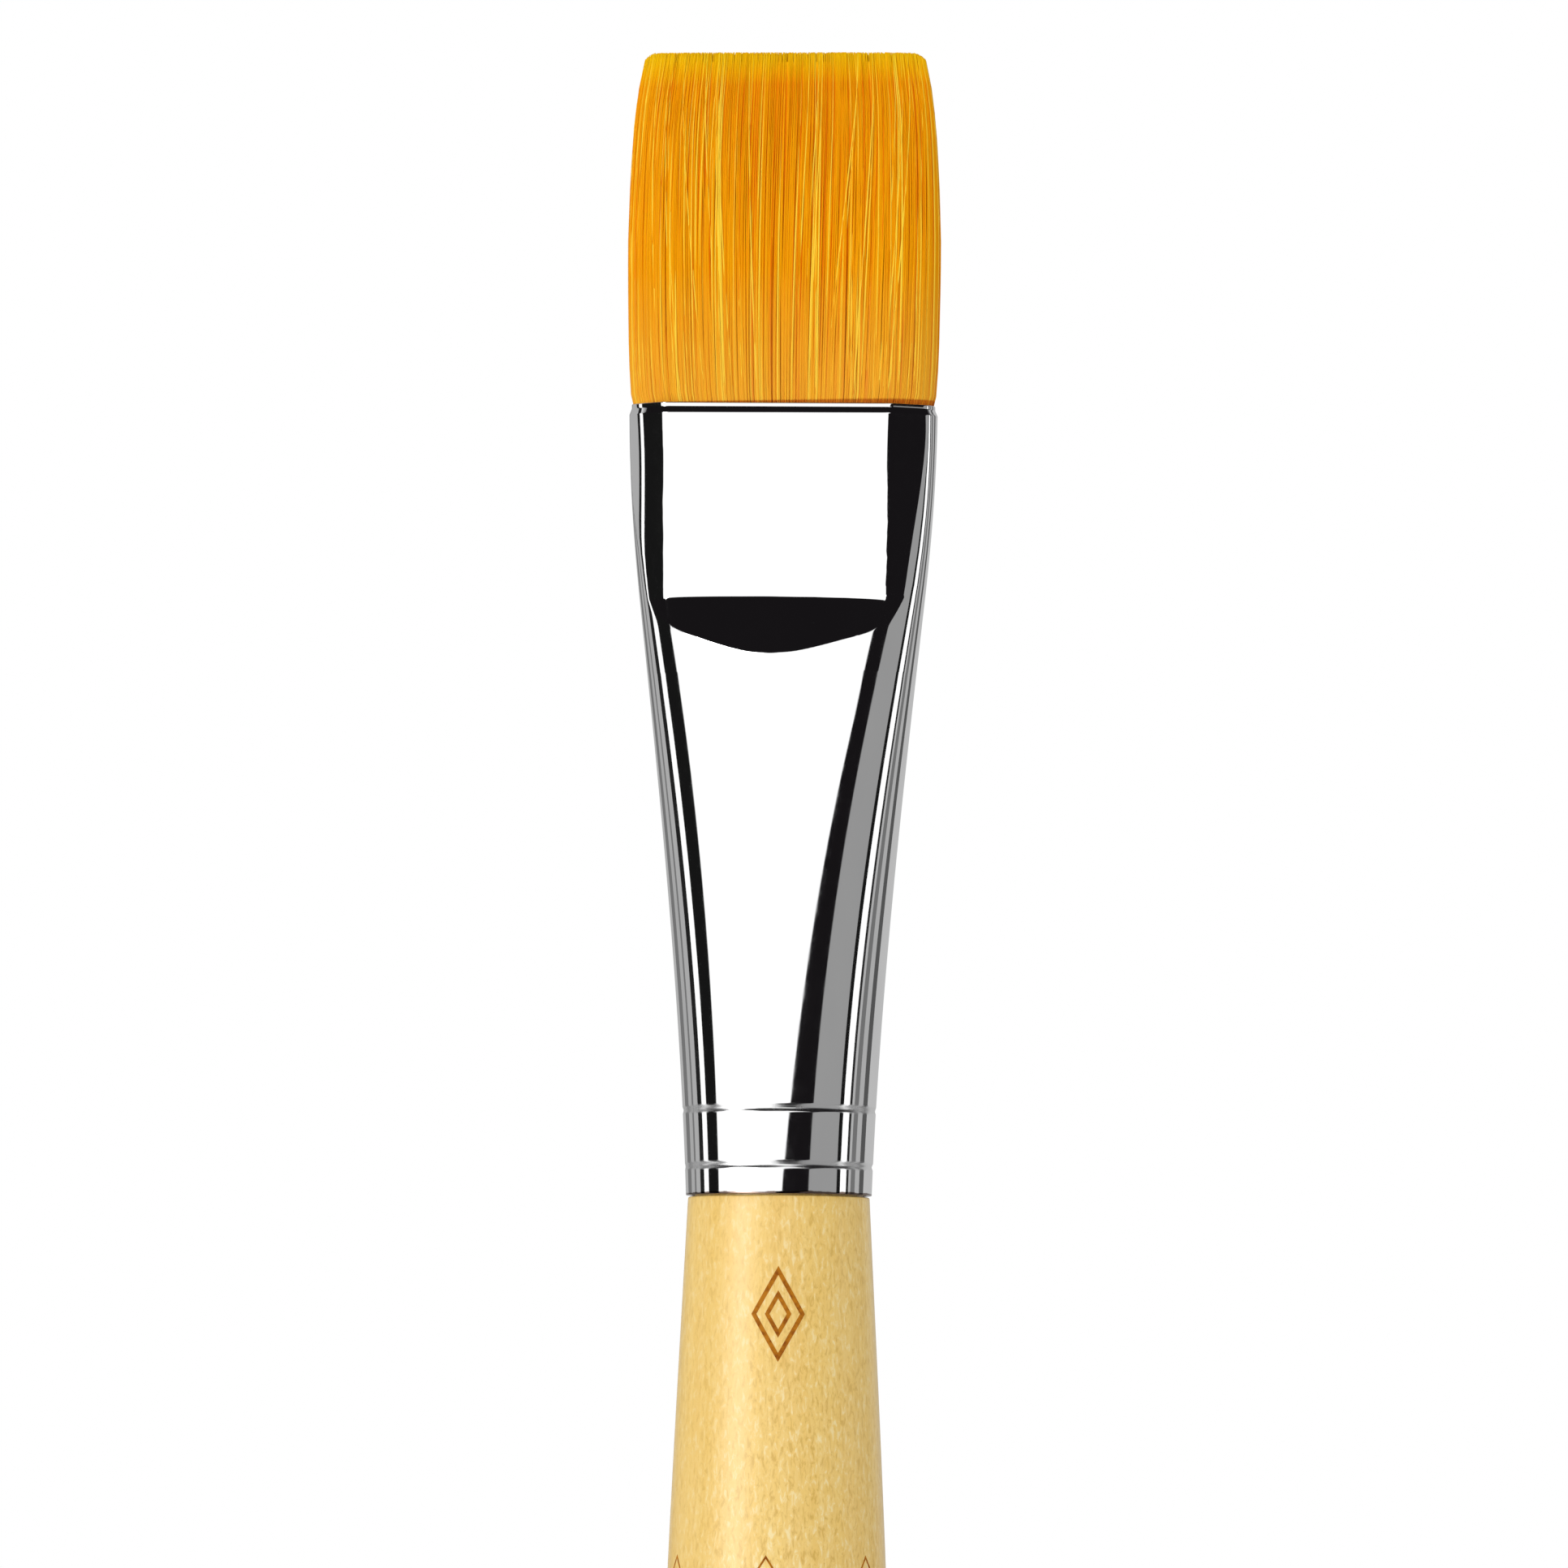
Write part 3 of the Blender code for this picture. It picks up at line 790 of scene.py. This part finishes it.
def surface_depth(across, half_depth):
    """How far the tuft's front stands from its middle plane, across from -1 to 1."""
    round_depth = SECTION_FULLNESS * np.sqrt(np.clip(1.0 - across**2, 0.0, 1.0))
    return soft_min(round_depth, 1.0, SECTION_SOFTNESS) * half_depth


def cut_height(x):
    """The height of the straight cut, rounded down at its corners."""
    past = np.clip(np.abs(x) - (CORNER_REACH - CORNER_RADIUS), 0.0, CORNER_RADIUS)
    return CUT_Z - (CORNER_RADIUS - np.sqrt(CORNER_RADIUS**2 - past**2))


def set_tones(piece, tones):
    """Stores each point's tone, which the filament material reads."""
    attribute = piece.data.attributes.new("tone", "FLOAT", "POINT")
    attribute.data.foreach_set("value", tones.astype(np.float32))


def bundle_leans(across, fan, loose, rng):
    """How far each filament leans on its way up, as a share of the half width.

    Those of one clump lean alike, but for loose, how much single ones differ from their clump.
    """
    mixed = (across + 1.0) * CLUMPS / 2.0 + rng.normal(0.0, CLUMP_MIXING, len(across))
    clump = mixed.astype(int).clip(0, CLUMPS - 1)
    middle = (np.arange(CLUMPS) + 0.5) * 2.0 / CLUMPS - 1.0
    spread = middle * (1.0 - np.abs(middle)) * fan * rng.uniform(0.1, 1.0, CLUMPS)
    return (spread + rng.normal(0.0, CLUMP_LEAN, CLUMPS))[clump] + rng.normal(0.0, loose, len(across))


def filament_tones(count, rng):
    """Most filaments share one tone. Light and dark ones are strewn evenly among them."""
    tones = rng.normal(USUAL_TONE, TONE_VARIATION, count)
    kind = (np.arange(count) * GOLDEN_SHARE + rng.normal(0.0, SHUFFLE, count)) % 1.0
    lighter = np.where(kind > 1.0 - LIGHT_SHARE, LIGHT_STEP, 0.0)
    darker = np.where(kind < DARK_SHARE, DARK_STEP, 0.0)
    return tones + (lighter - darker)


def filament_paths(across, lean, side, layer, start, segments, rng):
    """The middle lines of filaments that run up the tuft from start, a share of its length, to the cut."""
    count = len(across)
    wave = rng.normal(0.0, WAVE, count)
    phase = rng.uniform(0.0, 2.0 * math.pi, count)
    dive = rng.uniform(*DIVES, count)
    short = rng.exponential(SHORTNESS, count).clip(0.0, GREATEST_SHORTNESS)
    top_x = np.clip(across + lean, -OUTERMOST, OUTERMOST) * tuft_half_sizes(CUT_MEASURED_AT)[0]
    top = (cut_height(top_x) - short - MOUTH_Z) / TUFT_LENGTH
    paths = np.empty((count, segments + 1, 3))
    for i, step in enumerate(np.linspace(0.0, 1.0, segments + 1)):
        share = start + (top - start) * step
        rise = np.clip(share, 0.0, 1.0)
        half_width, half_depth = tuft_half_sizes(share)
        here = across + lean * rise**LEAN_POWER + wave * np.sin(phase + rise * WAVE_TURN)
        here = np.clip(here, -OUTERMOST, OUTERMOST)
        sunk = np.clip(layer + dive * np.sin(phase + rise * DIVE_TURN), 0.0, 1.0)
        y = side * surface_depth(here, half_depth) * (1.0 - sunk)
        paths[:, i] = np.stack([here * half_width, y, MOUTH_Z + share * TUFT_LENGTH], axis=1)
    return paths


def filament_tubes(centres, sides, rng):
    """Points and faces of closed tubes round their middle lines, thick at the root and fine at the tip."""
    count, rows = centres.shape[:2]
    rise = np.clip((centres[:, :, 2] - MOUTH_Z) / TUFT_LENGTH, 0.0, 1.0)
    taper = 1.0 - smoothstep((rise - TAPER_START) / (1.0 - TAPER_START))
    radius = FILAMENT_TIP_RADIUS + (FILAMENT_RADIUS - FILAMENT_TIP_RADIUS) * taper
    radius *= rng.uniform(*FILAMENT_RADIUS_SHARES, count)[:, None]
    turns = rng.uniform(0.0, math.pi, count)[:, None] + np.arange(sides) * 2.0 * math.pi / sides
    points = np.empty((count, rows, sides, 3))
    points[..., 0] = centres[..., None, 0] + radius[..., None] * np.cos(turns)[:, None]
    points[..., 1] = centres[..., None, 1] + radius[..., None] * np.sin(turns)[:, None]
    points[..., 2] = centres[..., None, 2]
    tube = np.array(ring_faces(rows, sides))
    size = rows * sides
    quads = (tube[None] + (np.arange(count) * size)[:, None, None]).reshape(-1, 4).tolist()
    caps = [tuple(range(end - sides, end)) for end in range(size, (count + 1) * size, size)]
    return points, quads + caps


def filament_group(
    name, seed, count, layers, start=FILAMENT_START, sides=4, segments=14, fan=0.0, loose=0.01, bright=0.0
):
    """A piece of separate filaments.

    Layers are how deep they lie, from 0 at the surface to 1 at the tuft's middle plane. Fan is how far the
    most slanted ones spread outwards on their way up, and bright is added to their tone.
    """
    rng = np.random.default_rng(seed)
    across = (np.arange(count) + rng.random(count)) * 2.0 / count - 1.0
    across = np.sign(across) * np.abs(across) ** CROWDING
    side = np.where(rng.random(count) < 0.5, -1.0, 1.0)
    lean = bundle_leans(across, fan, loose, rng)
    tone = np.clip(filament_tones(count, rng) + bright, 0.0, 1.0)
    layer = rng.uniform(*layers, count)
    centres = filament_paths(across, lean, side, layer, start, segments, rng)
    points, faces = filament_tubes(centres, sides, rng)
    made = mesh_object(name, skewed(points), faces)
    set_tones(made, np.repeat(tone, (segments + 1) * sides))
    return made


def build_filaments():
    """The tuft's filaments, from the few stray ones outside to the short ones that show only at the cut."""
    return [
        filament_group(
            "filaments_stray", 5, 84, (-0.02, 0.01), segments=16, fan=1.0, loose=0.03, bright=0.50
        ),
        filament_group("filaments_outer", 11, 1500, (0.0, 0.06), fan=0.25),
        filament_group("filaments_second", 23, 1200, (0.05, 0.16), fan=0.1),
        filament_group("filaments_inner", 37, 2600, (0.1, 1.0), start=0.55, sides=3, segments=6),
    ]


# The bundle's heart -------------------------------------------------------------------------------

# Inside the ferrule it is bound tight at its roots and spreads to fill the mouth.
# Its spread starts at a height above the ferrule's base.
CORE_COLUMNS = 96
CORE_ROWS_INSIDE, CORE_ROWS_OUTSIDE = 16, 34
CORE_INSET = 0.955
CORE_START, CORE_TOP = -0.05, 0.985
CORE_ROUNDED_FROM, CORE_ROUNDED_OVER, CORE_ROUNDING = 0.95, 0.05, 0.04
CORE_TONE = 0.15
CORE_SHARP_ANGLE = math.radians(40)
BOUND_INSET, SPREAD_INSET = 0.95 * MM, 0.2 * MM
SPREAD_START, SPREAD_OVER = 36.0 * MM, 3.0 * MM
CORE_BELOW_MOUTH = 1.2 * MM


def core_ring_inside(height):
    """The heart's section inside the ferrule, which follows the wall."""
    spread = smoothstep((height - SPREAD_START) / SPREAD_OVER)
    ring = ferrule_ring(height, WALL + BOUND_INSET + (SPREAD_INSET - BOUND_INSET) * spread)
    keep = np.linspace(0, len(ring), CORE_COLUMNS, endpoint=False).astype(int)
    return ring[keep]


def core_ring_outside(share):
    """The heart's section at a share of the tuft's length, a little inside the filaments."""
    turns = np.linspace(0.0, 2.0 * math.pi, CORE_COLUMNS, endpoint=False)
    half_width, half_depth = tuft_half_sizes(share)
    past = max(0.0, (share - CORE_ROUNDED_FROM) / CORE_ROUNDED_OVER)
    room = CORE_INSET + CORE_ROUNDING * math.sqrt(max(0.0, 1.0 - past**2))
    across = np.cos(turns)
    depth = surface_depth(across, half_depth) * CORE_INSET
    y = np.sign(np.sin(turns)) * np.where(np.abs(np.sin(turns)) < END_COLUMN, 0.0, depth)
    z = MOUTH_Z + share * TUFT_LENGTH
    return np.stack([across * half_width * room, y, np.full_like(across, z)], axis=1)


def build_core():
    """The solid heart of the bundle, from its cut roots in the resin up to just under the cut."""
    inside = np.linspace(ROOT_Z - BASE_Z, FERRULE_LENGTH - CORE_BELOW_MOUTH, CORE_ROWS_INSIDE)
    outside = np.linspace(CORE_START, CORE_TOP, CORE_ROWS_OUTSIDE)
    rings = [core_ring_inside(height) for height in inside]
    rings += [core_ring_outside(share) for share in outside]
    faces = ring_faces(len(rings), CORE_COLUMNS)
    last = (len(rings) - 1) * CORE_COLUMNS
    faces.append(tuple(range(CORE_COLUMNS - 1, -1, -1)))
    faces.append(tuple(range(last, last + CORE_COLUMNS)))
    made = mesh_object("filament_core", skewed(np.concatenate(rings)), faces)
    made.data.set_sharp_from_angle(angle=CORE_SHARP_ANGLE)
    set_tones(made, np.full(len(made.data.vertices), CORE_TONE))
    return made


# Camera and studio --------------------------------------------------------------------------------

# The studio by direction, in degrees to the camera's right: where each band starts and how bright it is.
STUDIO_BANDS = (
    (-180, 0.45),
    (-152, 0.18),
    (-139, 0.40),
    (-129, 0.18),
    (-124, 0.42),
    (-114, 0.015),
    (-106, 1.10),
    (-98, 0.008),
    (-80, 0.31),
    (75, 0.008),
    (81, 1.10),
    (90.5, 0.02),
    (95, 0.45),
    (99, 0.17),
    (107, 0.42),
    (118, 0.09),
    (128, 0.50),
)
BAND_EDGE = 0.5
STUDIO_BLACK = (0.008, 0.007, 0.008)

# The softbox and the card beside it lean: their edges move by a lean for each degree up, between limits.
SOFTBOX_LEFT = -80.0
SOFTBOX_RIGHT = 10.0
SOFTBOX_RIGHT_LEAN = 3.3
SOFTBOX_RIGHT_LIMITS = (-4.0, 34.0)
CARD_LEFT = 40.0
CARD_LEFT_LEAN = 1.7
CARD_LEFT_LIMITS = (26.0, 53.0)
HOT_SPOT, HOT_SPOT_REACH = -46.0, 22.0
HOT_SPOT_LEVEL, SOFTBOX_LEVEL = 8.5, 1.1

# The dark ceiling starts between two elevations, and lower down towards the sides of its peak.
CEILING_START = (19.0, 21.0)
CEILING_PEAK = -22.0
CEILING_FALL_REACH, CEILING_FALL = (34.0, 54.0), 9.0
CEILING_SIDES = (110.0, 95.0)

FILL_TOWARDS = -50.0
FILL_LEVELS = (0.64, 1.00)
WHITE = (1.0, 1.0, 1.0, 1.0)

FLOOR_REACH = 1.5
FLOOR_SIDES = 96
FLOOR_GAP = 0.3 * MM
FLOOR_TONES = ((0.86, 0.86, 0.855), (0.88, 0.88, 0.875))
FLOOR_GLOW_START = 0.3 * FLOOR_REACH
FLOOR_RIM_GLOW = 0.35


def build_camera():
    azimuth, elevation = math.radians(VIEW_AZIMUTH), math.radians(VIEW_ELEVATION)
    level = math.cos(elevation)
    back = Vector((math.sin(azimuth) * level, -math.cos(azimuth) * level, math.sin(elevation)))
    right = Vector((math.cos(azimuth), math.sin(azimuth), 0.0))
    centre = Vector((0.0, 0.0, BASE_Z + VIEW_CENTRE_ABOVE_BASE)) + right * VIEW_SHIFT_RIGHT
    data = bpy.data.cameras.new("camera")
    data.sensor_width = SENSOR
    data.lens = SENSOR * VIEW_DISTANCE / VIEW_HEIGHT
    camera = bpy.data.objects.new("camera", data)
    bpy.context.scene.collection.objects.link(camera)
    turn = (-back).to_track_quat("-Z", "Y").to_matrix().to_4x4()
    roll = Matrix.Rotation(math.radians(VIEW_ROLL), 4, "Z")
    camera.matrix_world = Matrix.Translation(centre + back * VIEW_DISTANCE) @ turn @ roll
    bpy.context.scene.camera = camera


def band_ramp(nodes, turned):
    """The studio's vertical bands, as brightness by the angle round the brush."""
    share = nodes.maths("FRACT", nodes.maths("ADD", nodes.maths("DIVIDE", turned, 360.0), 0.5))
    ramp = nodes.add("ShaderNodeValToRGB")
    ramp.color_ramp.interpolation = "CONSTANT"
    stops = ramp.color_ramp.elements
    stops.remove(stops[1])
    for start, level in STUDIO_BANDS:
        stop = stops[0] if start == STUDIO_BANDS[0][0] else stops.new((start + 180.0) / 360.0)
        stop.color = (level, level, level, 1.0)
    nodes.link(share, ramp.inputs["Fac"])
    return ramp.outputs["Color"]


def with_softbox(nodes, bands, turned, raised):
    """The bands, with a softbox and a black card before them, straight ahead."""
    right = nodes.maths("MULTIPLY_ADD", raised, SOFTBOX_RIGHT_LEAN, SOFTBOX_RIGHT)
    right = nodes.clamp(right, *SOFTBOX_RIGHT_LIMITS)
    card = nodes.maths("MULTIPLY_ADD", raised, CARD_LEFT_LEAN, CARD_LEFT)
    card = nodes.clamp(card, *CARD_LEFT_LIMITS)
    lit = nodes.spread(nodes.maths("SUBTRACT", right, turned), -BAND_EDGE, BAND_EDGE)
    past_left = nodes.spread(turned, SOFTBOX_LEFT - BAND_EDGE, SOFTBOX_LEFT + BAND_EDGE)
    before_card = nodes.spread(nodes.maths("SUBTRACT", card, turned), -BAND_EDGE, BAND_EDGE)
    heat = nodes.spread(
        nodes.distance(turned, HOT_SPOT), 0.0, HOT_SPOT_REACH, HOT_SPOT_LEVEL, SOFTBOX_LEVEL
    )
    softbox = nodes.mix(lit, STUDIO_BLACK, nodes.grey(heat))
    return nodes.mix(nodes.maths("MULTIPLY", past_left, before_card), bands, softbox)


def under_ceiling(nodes, studio, turned, raised):
    """The studio with its dark ceiling, which is only in front of the brush."""
    from_peak = nodes.distance(turned, CEILING_PEAK)
    lowered = nodes.spread(from_peak, *CEILING_FALL_REACH, 0.0, CEILING_FALL)
    ceiling = nodes.spread(nodes.maths("ADD", raised, lowered), *CEILING_START)
    ahead = nodes.spread(nodes.maths("ABSOLUTE", turned), *CEILING_SIDES)
    return nodes.mix(nodes.maths("MULTIPLY", ceiling, ahead), studio, STUDIO_BLACK)


def fill_light(nodes, direction):
    """Soft light from all round, strongest from the front to the left."""
    towards = math.radians(VIEW_AZIMUTH + FILL_TOWARDS)
    facing = nodes.add("ShaderNodeVectorMath", operation="DOT_PRODUCT")
    nodes.link(direction, facing.inputs[0])
    facing.inputs[1].default_value = (math.sin(towards), -math.cos(towards), 0.0)
    return nodes.grey(nodes.spread(facing.outputs["Value"], -1.0, 1.0, *FILL_LEVELS))


def build_world():
    """A photo studio: its bands show in polished metal, its fill lights the rest, and it looks white."""
    world = bpy.data.worlds.new("studio")
    bpy.context.scene.world = world
    world.use_nodes = True
    world.node_tree.nodes.clear()
    nodes = Nodes(world.node_tree)
    direction = nodes.add("ShaderNodeTexCoord").outputs["Generated"]
    parts = nodes.add("ShaderNodeSeparateXYZ")
    nodes.link(direction, parts.inputs[0])
    backwards = nodes.maths("MULTIPLY", parts.outputs["Y"], -1.0)
    azimuth = nodes.maths("DEGREES", nodes.maths("ARCTAN2", parts.outputs["X"], backwards))
    turned = nodes.maths("SUBTRACT", azimuth, VIEW_AZIMUTH)
    raised = nodes.maths("DEGREES", nodes.maths("ARCSINE", parts.outputs["Z"]))

    reflected = with_softbox(nodes, band_ramp(nodes, turned), turned, raised)
    reflected = under_ceiling(nodes, reflected, turned, raised)
    path = nodes.add("ShaderNodeLightPath")
    studio = nodes.add("ShaderNodeBackground")
    light = nodes.mix(path.outputs["Is Diffuse Ray"], reflected, fill_light(nodes, direction))
    nodes.link(light, studio.inputs["Color"])
    backdrop = nodes.add("ShaderNodeBackground")
    backdrop.inputs["Color"].default_value = WHITE
    seen = nodes.add("ShaderNodeMixShader")
    nodes.link(path.outputs["Is Camera Ray"], seen.inputs["Fac"])
    nodes.link(studio.outputs[0], seen.inputs[1])
    nodes.link(backdrop.outputs[0], seen.inputs[2])
    nodes.link(seen.outputs[0], nodes.add("ShaderNodeOutputWorld").inputs["Surface"])


def floor_material():
    """Pale and matt, with a glow that grows towards the rim, so that it fades into the white backdrop."""
    made = Surface("pale_floor")
    grain = made.noise((30.0, 30.0, 30.0), detail=3.0)
    made.paint(made.mix(grain, *FLOOR_TONES), made.spread(grain, 0.3, 0.7, 0.75, 0.85))
    made.bump(grain, 0.05 * MM)
    away = made.add("ShaderNodeVectorMath", operation="LENGTH")
    made.link(made.place((1.0, 1.0, 0.0)), away.inputs[0])
    glow = made.spread(away.outputs["Value"], FLOOR_GLOW_START, FLOOR_REACH, 0.0, FLOOR_RIM_GLOW)
    made.link(glow, made.shader.inputs["Emission Strength"])
    made.set(Emission_Color=WHITE)
    return made.material


def build_floor():
    """A plain round floor just under the handle's tail. Glossy reflections leave it out."""
    turns = np.linspace(0.0, 2.0 * math.pi, FLOOR_SIDES, endpoint=False)
    x, y = FLOOR_REACH * np.cos(turns), FLOOR_REACH * np.sin(turns)
    points = np.stack([x, y, np.full(FLOOR_SIDES, TAIL_Z - FLOOR_GAP)], axis=1)
    floor = mesh_object("floor", points, [tuple(range(FLOOR_SIDES))])
    floor.visible_glossy = False
    floor.data.materials.append(floor_material())


# The whole brush ----------------------------------------------------------------------------------


def finish_rigid():
    """The pieces that ride on the brush's body: ferrule, handle and the marks on it."""
    finish_piece(build_ferrule(), plated_material(), BODY, ("ferrule",))
    finish_piece(build_handle(), wood_material(), BODY, ("handle",))
    burnt = burnt_material()
    emblem = build_marks("handle_emblem", EMBLEM_LOZENGES, EMBLEM_Z, (MARK_AZIMUTH,))
    finish_piece(emblem, burnt, BODY)
    azimuths = [BAND_AZIMUTH + 360.0 / BAND_COUNT * i for i in range(BAND_COUNT)]
    finish_piece(build_marks("handle_band", BAND_LOZENGES, BAND_Z, azimuths), burnt, BODY)


def finish_tuft():
    """The heart and the filaments, which stand in for the tuft's CAD nodes, with their placing baked into
    their points.
    """
    golden = filament_material("golden_filament", GOLDEN_TONES)
    heart = filament_material("golden_heart", HEART_TONES)
    core = finish_piece(build_core(), heart, replaced=("filament_roots", "filament_tuft"))
    groups = [finish_piece(group, golden) for group in build_filaments()]
    for piece in [core, *groups]:
        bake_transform(piece)


def main():
    scene = bpy.context.scene
    scene.view_settings.view_transform = "Standard"
    scene.view_settings.look = "None"
    finish_rigid()
    finish_tuft()
    finish_hidden()
    build_camera()
    build_world()
    build_floor()


main()
